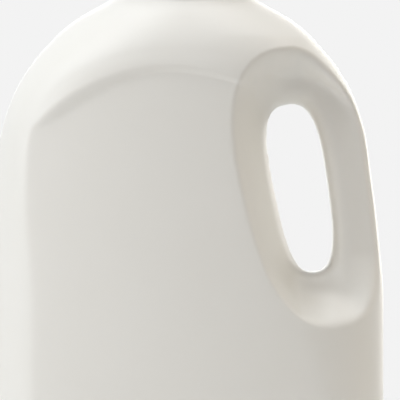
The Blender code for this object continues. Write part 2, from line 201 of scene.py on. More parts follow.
# %% Measures of the body
BODY_WIDTH = 199.6 * MM
BODY_DEPTH = 100.5 * MM
LAND_HEIGHT = 247.0 * MM
SHOULDER_DROP = 150.0 * MM
CROWN_DROP = 62.0 * MM
WIDTH_shares = ((0.0, 0.363), (0.067, 0.539), (0.167, 0.699), (0.267, 0.809),
                (0.4, 0.892), (0.6, 0.944), (0.8, 0.980), (1.0, 1.0))
DEPTH_shares = ((0.0, 0.66), (0.16, 0.8), (0.355, 0.925), (0.51, 0.978), (0.73, 0.996), (1.0, 1.0))
NECK_ROUNDNESS = 2.0
SHOULDER_ROUNDNESS = 3.3
BODY_ROUNDNESS = 2.65
HANDLE_SIDE_ROUNDNESS = 2.3
HANDLE_SIDE_FOOT_Z = 30.0 * MM
HANDLE_SIDE_RISE = 60.0 * MM
WALL = 1.4 * MM
HEEL_RADIUS = 11.0 * MM
FOOT_RING_WIDTH = 9.0 * MM
PUSH_UP_HEIGHT = 4.0 * MM
PUSH_UP_SLOPE = 12.0 * MM
FOOT_TRIM = 0.2 * MM
PANEL_DEPTH = 96.0 * MM
PANEL_CURVE_RADIUS = 345.0 * MM
PANEL_ARC_RADIUS = 92.8 * MM
PANEL_ARC_X = -6.9 * MM
PANEL_ARC_Z = 121.1 * MM
PANEL_EDGE_RADII = (3.0 * MM, 4.0 * MM)
PANEL_EDGE_SLOPES = (0.55, 0.95)
PANEL_EDGE_TURNS_X = (-45.0 * MM, 0.0)
PANEL_FOOT_Z = 27.0 * MM
PANEL_BLEND = 0.5 * MM
PINCH_X = 64.4 * MM
PINCH_Z = 154.1 * MM
PINCH_INNER_HALF_WIDTH = 36.6 * MM
PINCH_OUTER_HALF_WIDTH = 26.8 * MM
PINCH_WIDENING = 6.7 * MM
PINCH_WIDER_FROM_Z = 232.0 * MM
PINCH_WIDER_OVER = 50.0 * MM
PINCH_FADE = 14.0 * MM
PINCH_HALF_HEIGHT = 70.8 * MM
PINCH_ROUNDNESS = 2.51
PINCH_LEAN = math.radians(12.25)
PINCH_TAPER_share = 0.038
PINCH_EDGE = 4.0 * MM
PINCH_STEEPNESS = 4.5
PINCH_BLEND = 5.0 * MM
PINCH_LOW_Z = 122.0 * MM
PINCH_LOW_RISE = 26.0 * MM
PINCH_ROLL = 7.0 * MM
PINCH_TOP_ROLL = 2.0 * MM
PINCH_TOP_STEEPNESS = 1.6
PINCH_TOP_Z = 190.0 * MM
PINCH_TOP_RISE = 22.0 * MM
PINCH_SCOOP = 1.35
PINCH_SCOOP_BLEND = 0.3
PINCH_LEAST_SPAN = 0.1 * MM
BODY_SIDE_EDGE_RADIUS = 3.0 * MM
HOLE_X = 58.5 * MM
HOLE_Z = 153.0 * MM
HOLE_HALF_WIDTH = 13.7 * MM
HOLE_HALF_HEIGHT = 42.5 * MM
HOLE_ROUNDNESS = 3.0
HOLE_LEAN = math.radians(9.7)
HOLE_TAPER_share = 0.09
HANDLE_THICKNESS = 34.0 * MM
HANDLE_EDGE_RADIUS = 9.0 * MM
HANDLE_TILT = 0.32
RIM_RADIUS = 5.0 * MM
CREASE_BLEND = 0.2 * MM


# %% The body's curves
def ease(t):
    """Smooth step from 0 to 1."""
    t = np.clip(t, 0.0, 1.0)
    return t * t * (3.0 - 2.0 * t)


def curve_through(points, t):
    """Smooth curve through (share, value) pairs, level at its last one."""
    xs = np.array([x for x, _ in points])
    ys = np.array([y for _, y in points])
    slopes = np.gradient(ys, xs)
    slopes[-1] = 0.0
    t = np.clip(t, xs[0], xs[-1])
    i = np.clip(np.searchsorted(xs, t) - 1, 0, len(xs) - 2)
    width = xs[i + 1] - xs[i]
    s = (t - xs[i]) / width
    start = (1.0 + 2.0 * s) * (1.0 - s) ** 2 * ys[i] + s * (1.0 - s) ** 2 * width * slopes[i]
    end = s * s * (3.0 - 2.0 * s) * ys[i + 1] - s * s * (1.0 - s) * width * slopes[i + 1]
    return start + end


def section_size(z):
    """Half width, half depth, and roundness of the plain side and the handle side, at each height."""
    drop = LAND_HEIGHT - z
    width = BODY_WIDTH / 2 * curve_through(WIDTH_shares, drop / SHOULDER_DROP)
    depth = BODY_DEPTH / 2 * curve_through(DEPTH_shares, drop / CROWN_DROP)
    crown = ease(drop / CROWN_DROP)
    side = ease((drop - CROWN_DROP) / (SHOULDER_DROP - CROWN_DROP))
    roundness = NECK_ROUNDNESS + (SHOULDER_ROUNDNESS - NECK_ROUNDNESS) * crown
    roundness += (BODY_ROUNDNESS - SHOULDER_ROUNDNESS) * side
    squarer = np.maximum(roundness - HANDLE_SIDE_ROUNDNESS, 0.0)
    handle_side = roundness - squarer * ease((z - HANDLE_SIDE_FOOT_Z) / HANDLE_SIDE_RISE)
    return width, depth, roundness, handle_side


def egg_reach(x, z, half_widths, half_height, roundness, taper=0.0):
    """1 on an egg's outline, less inside it."""
    half_width = np.where(x < 0.0, half_widths[0], half_widths[1])
    across = np.abs(x) / (half_width * (1.0 + taper * z / half_height))
    return (across ** roundness + (np.abs(z) / half_height) ** roundness) ** (1.0 / roundness)


def egg_distance(x, z, centre, lean, half_widths, half_height, roundness, taper=0.0):
    """Distance outwards from the outline of an egg whose top leans towards -X."""
    across = (x - centre[0]) * math.cos(lean) + (z - centre[1]) * math.sin(lean)
    along = (z - centre[1]) * math.cos(lean) - (x - centre[0]) * math.sin(lean)
    size = (half_widths, half_height, roundness, taper)
    step = half_height / 1000
    slope_x = (egg_reach(across + step, along, *size) - egg_reach(across - step, along, *size)) / 2
    slope_z = (egg_reach(across, along + step, *size) - egg_reach(across, along - step, *size)) / 2
    steepness = np.maximum(np.hypot(slope_x, slope_z) / step, 1.0 / half_height)
    return (egg_reach(across, along, *size) - 1.0) / steepness


def over_both(a, b, blend):
    """The larger of two values, with the crease between them rounded off."""
    return (a + b + np.hypot(a - b, blend)) / 2


def under_both(a, b, blend):
    """The smaller of two values, with the crease between them rounded off."""
    return (a + b - np.hypot(a - b, blend)) / 2


def sunk_panel(x, z, depth):
    """The half depth with the label panel pressed in below its arched top and above its foot.

    A rounded slope leads down to the panel. Towards the handle it gets rounder and steeper.
    """
    below_arc = PANEL_ARC_RADIUS - np.hypot(x - PANEL_ARC_X, np.maximum(z - PANEL_ARC_Z, 0.0))
    inward = np.maximum(np.minimum(np.where(z > PANEL_ARC_Z, below_arc, BODY_WIDTH), z - PANEL_FOOT_Z), 0.0)
    share = ease((x - PANEL_EDGE_TURNS_X[0]) / (PANEL_EDGE_TURNS_X[1] - PANEL_EDGE_TURNS_X[0]))
    share *= z > PANEL_ARC_Z
    radius = PANEL_EDGE_RADII[0] + (PANEL_EDGE_RADII[1] - PANEL_EDGE_RADII[0]) * share
    slope = PANEL_EDGE_SLOPES[0] + (PANEL_EDGE_SLOPES[1] - PANEL_EDGE_SLOPES[0]) * share
    step = depth - slope * (np.hypot(inward, radius) - radius)
    panel = PANEL_DEPTH / 2 - x * x / (2 * PANEL_CURVE_RADIUS)
    return under_both(depth, over_both(panel, step, CREASE_BLEND), PANEL_BLEND)


def edge_rounding(distance, radius):
    """How much the half depth falls near a rounded edge of the handle that lies this far away."""
    near = np.clip(radius - distance, 0.0, radius)
    return radius - np.sqrt(radius ** 2 - near ** 2)


def pinch_distance(x, z):
    """Distance outwards from the pinch's outline, which is wider beside the handle than above it."""
    outer = PINCH_OUTER_HALF_WIDTH + PINCH_WIDENING * ease((PINCH_WIDER_FROM_Z - z) / PINCH_WIDER_OVER)
    return egg_distance(x, z, (PINCH_X, PINCH_Z), PINCH_LEAN, (PINCH_INNER_HALF_WIDTH, outer),
                        PINCH_HALF_HEIGHT, PINCH_ROUNDNESS, PINCH_TAPER_share)


def hole_distance(x, z):
    return egg_distance(x, z, (HOLE_X, HOLE_Z), HOLE_LEAN, (HOLE_HALF_WIDTH, HOLE_HALF_WIDTH),
                        HOLE_HALF_HEIGHT, HOLE_ROUNDNESS, HOLE_TAPER_share)


def pinched(x, z, full, depth, half_width):
    """The half depth inside the egg.

    Beside and above the hole the wall rolls over and runs straight down to the hole's edge, above it
    with less roll. Below the hole it is a scoop. On the handle's side it drops steeply to the
    handle's slanted face, whose outer rim is round.
    """
    inward = np.maximum(-pinch_distance(x, z), 0.0)
    outward = np.maximum(hole_distance(x, z), 0.0)
    low = ease((PINCH_LOW_Z - z) / PINCH_LOW_RISE)
    across = (x - HOLE_X) * math.cos(HOLE_LEAN) + (z - HOLE_Z) * math.sin(HOLE_LEAN)
    to_handle = ease((across + HOLE_HALF_WIDTH) / (2 * HOLE_HALF_WIDTH))
    grip = HANDLE_THICKNESS / 2 - HANDLE_TILT * np.maximum(across - HOLE_HALF_WIDTH, 0.0)
    ground = np.minimum(full, PANEL_DEPTH / 2 - x * x / (2 * PANEL_CURVE_RADIUS))
    ground = depth + (ground - depth) * ease(inward / PINCH_FADE)
    span = inward + outward + PINCH_LEAST_SPAN
    top = ease((z - PINCH_TOP_Z) / PINCH_TOP_RISE)
    roll = PINCH_ROLL + (PINCH_TOP_ROLL - PINCH_ROLL) * top
    steepness = PINCH_STEEPNESS + (PINCH_TOP_STEEPNESS - PINCH_STEEPNESS) * top
    share, roll = outward / span, roll / span
    straight = 1.0 - (np.hypot(1.0 - share, roll) - roll) / (np.hypot(1.0, roll) - roll)
    scoop = under_both(PINCH_SCOOP * share ** 2, 1.0, PINCH_SCOOP_BLEND)
    scoop /= under_both(PINCH_SCOOP, 1.0, PINCH_SCOOP_BLEND)
    rise = (straight + (scoop - straight) * low) * (1.0 - to_handle * (1.0 - low))
    wall = depth - steepness * (np.hypot(inward, PINCH_EDGE) - PINCH_EDGE)
    floor = np.minimum(over_both(wall, grip + (ground - grip) * rise, PINCH_BLEND * (1.0 - rise)), depth)
    rim = BODY_SIDE_EDGE_RADIUS + (HANDLE_EDGE_RADIUS - BODY_SIDE_EDGE_RADIUS) * to_handle
    rounded = np.maximum(floor - edge_rounding(outward, rim), np.minimum(floor, rim / 2))
    return rounded - edge_rounding(half_width - x, RIM_RADIUS) * ease(inward / RIM_RADIUS)


def half_depth(x, z):
    """The finished half depth at a point of the front, away from the heel and the land."""
    width, depth, plain_side, handle_side = section_size(z)
    roundness = np.where(x > 0.0, handle_side, plain_side)
    reach = np.clip(np.abs(x) / width, 0.0, 1.0)
    full = depth * (1.0 - reach ** roundness) ** (1.0 / roundness)
    return np.minimum(full, pinched(x, z, full, sunk_panel(x, z, full), width))


# %% [markdown]
# ## Wrapping a grid into the body
#
# A body of many unlike level sections could be lofted from rings of vertices. Here a plain grid is
# added and wrapped round instead: its columns go round the bottle and its rows climb it, from the
# pushed-up middle of the foot over the standing ring and the heel to the flat land under the cap.
# A second, finer one is kept aside as the true form, onto which the skin is laid back later.

# %% Wrap the grid
SEAM_MERGE = 0.01 * MM


def body_rows(side_rows, heel_rows):
    """(height, inset) of each level row, from the push-up under the foot to the land."""
    foot = -FOOT_TRIM
    ring_in = HEEL_RADIUS + FOOT_RING_WIDTH
    rows = []
    for i in range(heel_rows):
        share = i / heel_rows
        rows.append((foot + PUSH_UP_HEIGHT * (1.0 - ease(share)), ring_in + PUSH_UP_SLOPE * (1.0 - share)))
    rows.append((foot, ring_in))
    for i in range(heel_rows):
        turn = math.pi / 2 * i / heel_rows
        rows.append((foot + HEEL_RADIUS * (1.0 - math.cos(turn)), HEEL_RADIUS * (1.0 - math.sin(turn))))
    low = foot + HEEL_RADIUS
    for i in range(side_rows + 1):
        rows.append((low + (LAND_HEIGHT - low) * i / side_rows, 0.0))
    return np.array(rows)


def wrapped_body(name, columns, side_rows, heel_rows):
    """A grid wrapped round the body, its seam merged and its two ends closed."""
    rows = body_rows(side_rows, heel_rows)
    deselect()
    bpy.ops.mesh.primitive_grid_add(x_subdivisions=columns, y_subdivisions=len(rows) - 1, size=1.0)
    body = newest(name)
    flat = get_points(body) + 0.5
    z, inset = rows[np.rint(flat[:, 1] * (len(rows) - 1)).astype(int)].T
    width, depth, plain_side, handle_side = section_size(z)
    cos, sin = np.cos(2 * np.pi * flat[:, 0]), np.sin(2 * np.pi * flat[:, 0])
    roundness = np.where(cos > 0.0, handle_side, plain_side)
    x = (width - inset) * np.sign(cos) * np.abs(cos) ** (2.0 / roundness)
    y = (depth - inset) * np.sign(sin) * np.abs(sin) ** (2.0 / roundness)
    full = np.abs(y)
    pressed = pinched(x, z, full, sunk_panel(x, z, full), width)
    set_points(body, np.column_stack((x, np.sign(y) * np.minimum(full, pressed), z)))
    edit_all(body)
    bpy.ops.mesh.remove_doubles(threshold=SEAM_MERGE)
    bpy.ops.mesh.fill_holes(sides=0)
    face_outwards()
    leave_edit()
    print(name, "has", len(body.data.vertices), "vertices")
    return body


bottle = wrapped_body("bottle_skin", columns=360, side_rows=190, heel_rows=8)
form = wrapped_body("form_for_shrinkwrap", columns=720, side_rows=400, heel_rows=12)

# %% [markdown]
# ## The finger hole
#
# In the mould the two halves meet inside the handle and the hole is trimmed out afterwards. A flat
# egg-shaped face, extruded right through the bottle, makes the same cut as a Boolean.

# %% Cut the finger hole
HOLE_POINTS = 96

deselect()
bpy.ops.mesh.primitive_circle_add(vertices=HOLE_POINTS, radius=1.0, fill_type="NGON")
plug = newest("finger_hole_cutter")
ring = get_points(plug)
along = HOLE_HALF_HEIGHT * np.sign(ring[:, 1]) * np.abs(ring[:, 1]) ** (2.0 / HOLE_ROUNDNESS)
across = HOLE_HALF_WIDTH * np.sign(ring[:, 0]) * np.abs(ring[:, 0]) ** (2.0 / HOLE_ROUNDNESS)
across *= 1.0 + HOLE_TAPER_share * along / HOLE_HALF_HEIGHT
set_points(plug, np.column_stack((
    HOLE_X + across * math.cos(HOLE_LEAN) - along * math.sin(HOLE_LEAN),
    np.full(len(ring), -BODY_DEPTH),
    HOLE_Z + across * math.sin(HOLE_LEAN) + along * math.cos(HOLE_LEAN))))
edit_all(plug)
bpy.ops.mesh.extrude_region_move(TRANSFORM_OT_translate={"value": (0.0, 2 * BODY_DEPTH, 0.0)})
face_outwards()
leave_edit()
cut_or_join(bottle, plug, "DIFFERENCE")
print("finger hole", round(2 * HOLE_HALF_WIDTH / MM, 1), "by", round(2 * HOLE_HALF_HEIGHT / MM, 1), "mm")

# %% [markdown]
# ## One soft skin
#
# Blown plastic has no sharp edge anywhere. A voxel remesh gives the whole skin faces of one size,
# and smoothing rounds every edge a little, as the plastic does when it cools in the mould. The
# faces in the pinch's wall and beside its rim are then cut in four and those near the panel's
# arched crease in nine, so that these stay crisp while the rest stays light.
#
# The skin is laid back on the true curves twice. Shrinkwrap brings all of it but the finger hole's
# tunnel back onto the finer form. Then front and back take their exact half depth, fading out near
# the sides, the hole, the heel and the land, and what was not set exactly is smoothed a little.

# %% Remesh and smooth
SKIN_VOXEL = 1.9 * MM
SKIN_SMOOTHING = 5

apply_modifier(bottle, "even_faces", "REMESH", mode="VOXEL", voxel_size=SKIN_VOXEL)
apply_modifier(bottle, "soft_edges", "SMOOTH", factor=0.5, iterations=SKIN_SMOOTHING)
print("even skin has", len(bottle.data.polygons), "faces")

# %% Finer faces where the form turns quickly
TUNNEL_DEPTH = 12.0 * MM
CREASE_BAND = (-1.0 * MM, 7.0 * MM)
PINCH_BAND = (-1.5 * MM, 12.0 * MM)
RIM_BAND_share = 0.93


def in_band(values, band):
    return (values > band[0]) & (values < band[1])


points = get_points(bottle)
x, z = points[:, 0], points[:, 2]
arc = PANEL_ARC_RADIUS - np.hypot(x - PANEL_ARC_X, np.maximum(z - PANEL_ARC_Z, 0.0))
outside = np.abs(points[:, 1]) > TUNNEL_DEPTH
near_crease = in_band(arc, CREASE_BAND) & (z > PANEL_ARC_Z) & outside
in_pinch = -pinch_distance(x, z)
near_pinch = in_band(in_pinch, PINCH_BAND) & outside
near_rim = (in_pinch > PINCH_BAND[0]) & (x > RIM_BAND_share * section_size(z)[0])
for area, cuts in ((near_pinch | near_rim) & ~near_crease, 1), (near_crease, 2):
    selected = np.zeros(len(bottle.data.vertices), dtype=bool)
    selected[:len(area)] = area
    select_points(bottle, selected)
    bpy.ops.object.mode_set(mode="EDIT")
    bpy.ops.mesh.subdivide(number_cuts=cuts)
    leave_edit()
print("finer skin has", len(bottle.data.polygons), "faces")

# %% Back onto the true curves
points = get_points(bottle)
hole = hole_distance(points[:, 0], points[:, 2])
in_tunnel = ease((TUNNEL_DEPTH - np.abs(points[:, 1])) / HANDLE_EDGE_RADIUS * 2)
in_tunnel *= hole < HANDLE_EDGE_RADIUS
off_tunnel = weighted_group(bottle, "off_the_tunnel", 1.0 - in_tunnel)
apply_modifier(bottle, "back_onto_the_form", "SHRINKWRAP", target=form, wrap_method="NEAREST_SURFACEPOINT",
               vertex_group=off_tunnel)
remove(form)

# %% Exact front and back
EXACT_TO_WIDTH_share = 0.975
EXACT_FADE_share = 0.03
EXACT_OFF_HOLE = 0.5 * MM
EXACT_HOLE_FADE = 2.5 * MM
EXACT_FROM_Z = 14.0 * MM
EXACT_BELOW_LAND = 4.0 * MM
EXACT_LEVEL_FADE = 6.0 * MM
RIM_SMOOTHING = 4

points = get_points(bottle)
x, y, z = points.T
exact = ease((EXACT_TO_WIDTH_share - np.abs(x) / section_size(z)[0]) / EXACT_FADE_share)
exact *= ease((hole_distance(x, z) - EXACT_OFF_HOLE) / EXACT_HOLE_FADE)
exact *= ease((z - EXACT_FROM_Z) / EXACT_LEVEL_FADE)
exact *= ease((LAND_HEIGHT - EXACT_BELOW_LAND - z) / EXACT_LEVEL_FADE)
exact *= 1.0 - in_tunnel
points[:, 1] += exact * (np.sign(y) * half_depth(x, z) - y)
set_points(bottle, points)
rims = weighted_group(bottle, "rims", 1.0 - exact)
apply_modifier(bottle, "soft_rims", "SMOOTH", factor=0.5, iterations=RIM_SMOOTHING, vertex_group=rims)
bottle.vertex_groups.clear()
print(round(100 * float(np.mean(exact > 0.99))), "% of the skin's points lie exactly on the curves")

# %% [markdown]
# ## Under the foot
#
# The bottle stands on a flat ring. Inside the ring the bottom is pushed up, and across it runs the
# pinch-off: the short thick seam where the mould bit the hot tube shut. A cut at floor level makes
# the ring flat, and a thin bar with rounded edges, joined to the bottom, makes the seam.

# %% Foot and pinch-off
PINCH_OFF_LENGTH = 112.0 * MM
PINCH_OFF_WIDTH = 1.8 * MM
PINCH_OFF_PROUD = 0.9 * MM
CUT_TOLERANCE = 0.0001 * MM

edit_all(bottle)
bpy.ops.mesh.bisect(plane_co=(0.0, 0.0, 0.0), plane_no=(0.0, 0.0, -1.0), threshold=CUT_TOLERANCE,
                    clear_outer=True, use_fill=True)
leave_edit()
seam = rounded_block("pinch_off", (0.0, 0.0, PUSH_UP_HEIGHT - FOOT_TRIM),
                     (PINCH_OFF_LENGTH, PINCH_OFF_WIDTH, 2 * PINCH_OFF_PROUD),
                     PINCH_OFF_WIDTH / 4, segments=2)
print("lowest point at", round(float(get_points(bottle)[:, 2].min()) / MM, 3), "mm")

# %% [markdown]
# ## Turned shapes
#
# The neck, the cap, the spout and the ring are round, so each is a closed outline turned about the
# axis. The outline starts as a circle of edges, its points go to the corners, a vertex bevel rounds
# them as a moulding tool's corners are rounded, and Spin turns it. A thread is an outline as well,
# turned and raised by the Screw modifier, with both ends run out to nothing. Corners are written as
# on a drawing: radius and height in millimetres.


# %% Helpers for turned shapes
THREAD_FOOT_MM = 3.0
THREAD_TOP_MM = 1.2
THREAD_SUNK = 0.3 * MM
THREAD_RUN_OUT = 0.12
OFF_AXIS = 0.1 * MM


def outline(name, corners_mm, rounding_mm):
    """A closed loop of edges in the X-Z plane, with the corners that lie off the axis rounded."""
    deselect()
    bpy.ops.mesh.primitive_circle_add(vertices=len(corners_mm), radius=1.0, fill_type="NOTHING")
    loop = newest(name)
    set_points(loop, [(x * MM, 0.0, z * MM) for x, z in corners_mm])
    if rounding_mm:
        select_points(loop, get_points(loop)[:, 0] > OFF_AXIS)
        bpy.ops.object.mode_set(mode="EDIT")
        bpy.ops.mesh.bevel(offset=rounding_mm * MM, segments=3, affect="VERTICES")
        leave_edit()
    return loop


def close_up(thing):
    """Merge the seam, drop what hangs loose, close any hole and turn the faces outwards."""
    edit_all(thing)
    bpy.ops.mesh.remove_doubles(threshold=SEAM_MERGE / 2)
    bpy.ops.mesh.delete_loose()
    bpy.ops.mesh.select_all(action="SELECT")
    bpy.ops.mesh.fill_holes(sides=0)
    face_outwards()
    leave_edit()
    return thing


def turned(name, corners_mm, rounding_mm=0.4, steps=144):
    """An outline turned once round the bottle's axis."""
    loop = outline(name, corners_mm, rounding_mm)
    edit_all(loop)
    bpy.ops.mesh.spin(steps=steps, angle=2 * math.pi, center=(0.0, 0.0, 0.0), axis=(0.0, 0.0, 1.0))
    leave_edit()
    return close_up(loop)


def thread(name, root, crest, start_z, pitch, turns, steps=96):
    """A screw ridge from its root radius to its crest radius, with both ends run out."""
    foot, top = THREAD_FOOT_MM / 2, THREAD_TOP_MM / 2
    corners = [(root / MM, -foot), (crest / MM, -top), (crest / MM, top), (root / MM, foot)]
    ridge = outline(name, corners, 0.0)
    apply_modifier(ridge, "winding", "SCREW", angle=2 * math.pi * turns, screw_offset=pitch * turns,
                   steps=int(steps * turns), render_steps=int(steps * turns), axis="Z")
    points = get_points(ridge)
    share = (np.arctan2(points[:, 1], points[:, 0]) / (2 * math.pi)) % 1.0
    turn = share + np.rint(points[:, 2] / pitch - share)
    run_out = ease(np.minimum(turn, turns - turn) / THREAD_RUN_OUT)
    radius = np.hypot(points[:, 0], points[:, 1])
    wanted = root + (radius - root) * run_out
    points[:, :2] *= (wanted / radius)[:, None]
    points[:, 2] += start_z
    set_points(ridge, points)
    return close_up(ridge)


# %% [markdown]
# ## The neck
#
# The neck stands on the flat land. It has a bead at its root, where the cap's edge comes down, and
# a coarse thread of one and a half turns with ends that fade out, as blown threads do.

# %% Neck with its thread
NECK_RADIUS_MM = 28.5
NECK_ROOT_MM = 242.0
NECK_TOP_MM = 267.0
BEAD_RADIUS_MM = 29.7
BEAD_TOP_MM = 249.3
BEAD_FADES_MM = 250.5
THREAD_PITCH = 6.35 * MM
THREAD_TURNS = 1.5
NECK_THREAD_CREST = 29.6 * MM
NECK_THREAD_Z = 253.5 * MM

neck = turned("neck", [
    (0.0, NECK_ROOT_MM), (BEAD_RADIUS_MM, NECK_ROOT_MM), (BEAD_RADIUS_MM, BEAD_TOP_MM),
    (NECK_RADIUS_MM, BEAD_FADES_MM), (NECK_RADIUS_MM, NECK_TOP_MM), (0.0, NECK_TOP_MM)])
neck_thread = thread("neck_thread", NECK_RADIUS_MM * MM - THREAD_SUNK, NECK_THREAD_CREST, NECK_THREAD_Z,
                     THREAD_PITCH, THREAD_TURNS)
cut_or_join(neck, neck_thread, "UNION")
print("the neck stands", round(neck.dimensions.z / MM, 1), "mm tall, its root inside the shoulder")

# %% [markdown]
# ## The hollow inside
#
# The wall of such a bottle is a little over a millimetre. A copy of the skin is moved inwards by one
# wall thickness, which gives the shape of the space inside, and a plug as wide as the neck's bore
# opens it to the mouth. Cutting both out leaves one wall of even thickness, in the handle too.

# %% Hollow the bottle
INSIDE_VOXEL = 3.0 * MM
BORE_RADIUS_MM = 26.7
BORE_FROM_MM = 238.0
BORE_TO_MM = 275.0

select_only(bottle)
bpy.ops.object.duplicate()
inside = newest("space_inside")
apply_modifier(inside, "one_wall_in", "DISPLACE", strength=-WALL, mid_level=0.0)
apply_modifier(inside, "coarser", "REMESH", mode="VOXEL", voxel_size=INSIDE_VOXEL)
bore = turned("bore", [
    (0.0, BORE_FROM_MM), (BORE_RADIUS_MM, BORE_FROM_MM),
    (BORE_RADIUS_MM, BORE_TO_MM), (0.0, BORE_TO_MM)], 0.0)
cut_or_join(inside, bore, "UNION")
cut_or_join(bottle, seam, "UNION")
cut_or_join(bottle, neck, "UNION")
cut_or_join(bottle, inside, "DIFFERENCE")
smooth_faces(bottle, angle=60.0)

# %% [markdown]
# ## The measuring cap
#
# The cap is moulded in one: a ribbed skirt that screws on, a step that bears on the sealing ring and
# a cup for measuring a dose. Its outline is turned in steps that suit the ribs, eight to a rib, and
# the points of the skirt between two ribs then sink in. That is neater than sixty cuts. The skirt
# has extra rows near the ribs' ends, so that they run out within little more than a millimetre.

# %% Measuring cap
RIBS = 60
STEPS_PER_RIB = 8
RIB_DEPTH = 0.8 * MM
RIB_LOW_Z = 252.6 * MM
RIB_HIGH_Z = 271.0 * MM
RIB_FADE = 1.2 * MM
SKIRT_MM = 35.0
SKIRT_INSIDE_MM = 33.2
SKIRT_FOOT_MM = 247.6
SKIRT_ROWS_MM = (270.0, 269.0, 254.5, 253.0, 252.0)
LEDGE_MM = 270.6
CAP_TOP_MM = 311.6
CUP_FLOOR_MM = 309.8
CAP_THREAD_CREST = 30.9 * MM
CAP_THREAD_Z = 251.5 * MM

cap = turned("cap_shell", [
    (0.0, CAP_TOP_MM), (28.0, CAP_TOP_MM), (28.3, 292.0), (29.2, 273.4), (33.4, 272.9), (SKIRT_MM, 271.2),
    *[(SKIRT_MM, z) for z in SKIRT_ROWS_MM], (SKIRT_MM, SKIRT_FOOT_MM),
    (SKIRT_INSIDE_MM, SKIRT_FOOT_MM), (SKIRT_INSIDE_MM, LEDGE_MM), (28.4, LEDGE_MM),
    (27.0, 292.0), (26.2, CUP_FLOOR_MM), (0.0, CUP_FLOOR_MM)], 0.5, RIBS * STEPS_PER_RIB)
points = get_points(cap)
radius = np.hypot(points[:, 0], points[:, 1])
wave = 0.5 - 0.5 * np.cos(np.arctan2(points[:, 1], points[:, 0]) * RIBS)
rise = np.minimum(points[:, 2] - RIB_LOW_Z, RIB_HIGH_Z - points[:, 2])
on_skirt = radius > (SKIRT_MM * MM + SKIRT_INSIDE_MM * MM) / 2
sink = RIB_DEPTH * wave ** 2 * ease(rise / RIB_FADE) * on_skirt
points[:, :2] *= (1.0 - sink / np.maximum(radius, MM))[:, None]
set_points(cap, points)
cap_thread = thread("cap_thread", SKIRT_INSIDE_MM * MM + THREAD_SUNK, CAP_THREAD_CREST, CAP_THREAD_Z,
                    THREAD_PITCH, THREAD_TURNS)
cut_or_join(cap, cap_thread, "UNION")
smooth_faces(cap)

# %% [markdown]
# ## The pour spout
#
# The spout is pressed into the neck. Its tray catches drips and lets them run back through a slot at
# the foot of the tube, and the tube's slanted tip cuts the flow off cleanly. The tip is turned level
# and its points are then lowered onto the slant; the slot is a small rounded block, cut out.

# %% Pour spout
TUBE_MM = 13.0
TUBE_BORE_MM = 11.7
TIP_SLANT = math.radians(34.0)
TIP_MM = 297.8
TIP_ROOT_MM = 272.0
FLANGE_MM = 29.5
FLANGE_UNDER_MM = 267.3
SPOUT_SKIRT_MM = 26.4
DRAIN_SLOT_Z = 255.4 * MM
DRAIN_SLOT_SIZE = (6.0 * MM, 6.0 * MM, 4.6 * MM)
DRAIN_SLOT_ROUNDING = 0.8 * MM

spout = turned("spout_body", [
    (FLANGE_MM, FLANGE_UNDER_MM), (FLANGE_MM, 268.8), (25.6, 268.8), (25.1, 268.3), (25.1, 254.6),
    (13.6, 252.7), (TUBE_MM, 253.3), (TUBE_MM, TIP_ROOT_MM), (TUBE_MM, 296.8), (13.4, TIP_MM),
    (12.3, TIP_MM), (TUBE_BORE_MM, 296.8), (TUBE_BORE_MM, TIP_ROOT_MM), (TUBE_BORE_MM, 251.0),
    (26.0, 253.2), (SPOUT_SKIRT_MM, 254.0), (SPOUT_SKIRT_MM, FLANGE_UNDER_MM)], 0.25)
points = get_points(spout)
share = np.clip((points[:, 2] - TIP_ROOT_MM * MM) / (TIP_MM * MM - TIP_ROOT_MM * MM), 0.0, 1.0)
points[:, 2] -= share * (points[:, 0] + TUBE_MM * MM) * math.tan(TIP_SLANT)
set_points(spout, points)
slot = rounded_block("drain_slot_cutter", (TUBE_MM * MM, 0.0, DRAIN_SLOT_Z), DRAIN_SLOT_SIZE,
                     DRAIN_SLOT_ROUNDING, segments=3)
cut_or_join(spout, slot, "DIFFERENCE")
smooth_faces(spout)

# %% [markdown]
# ## The sealing ring
#
# A washer punched from foam sheet, loose in the cap. Punching leaves its edges square, and the
# cap's ledge has pressed a shallow groove into its upper side.

# %% Sealing ring
RING_INSIDE_MM = 25.0
RING_OUTSIDE_MM = 29.5
RING_UNDER_MM = 269.1
RING_TOP_MM = 270.3
GROOVE_FLOOR_MM = 270.1

seal = turned("foam_ring", [
    (RING_INSIDE_MM, RING_UNDER_MM), (RING_OUTSIDE_MM, RING_UNDER_MM), (RING_OUTSIDE_MM, RING_TOP_MM),
    (28.9, RING_TOP_MM), (28.6, GROOVE_FLOOR_MM), (26.6, GROOVE_FLOOR_MM), (26.3, RING_TOP_MM),
    (RING_INSIDE_MM, RING_TOP_MM)], 0.1)
smooth_faces(seal)

# %% [markdown]
# ## Plastics
#
# Colours are written as sRGB hex values, as a paint chart gives them, and one function turns them to
# the linear values that a shader needs. Another adds a node with its settings and links. The
# plastics share their tint, which drifts between two colours, and their shader with a bump.


# %% Helpers for materials
def colour(code):
    """Linear colour of an sRGB hex code."""
    channels = [int(code[i:i + 2], 16) / 255 for i in (1, 3, 5)]
    linear = [c / 12.92 if c <= 0.04045 else ((c + 0.055) / 1.055) ** 2.4 for c in channels]
    return (*linear, 1.0)


def add_node(tree, kind, links=(), **settings):
    """Add a node. Settings go by socket or property name, links are (socket, output) pairs."""
    node = tree.nodes.new(kind)
    for key, value in settings.items():
        if key in node.bl_rna.properties:
            setattr(node, key, value)
        else:
            node.inputs[key.replace("_", " ")].default_value = value
    for socket, output in links:
        tree.links.new(output, node.inputs[socket])
    return node


def new_material(name):
    material = bpy.data.materials.new(name)
    material.use_nodes = True
    tree = material.node_tree
    tree.nodes.clear()
    return material, tree


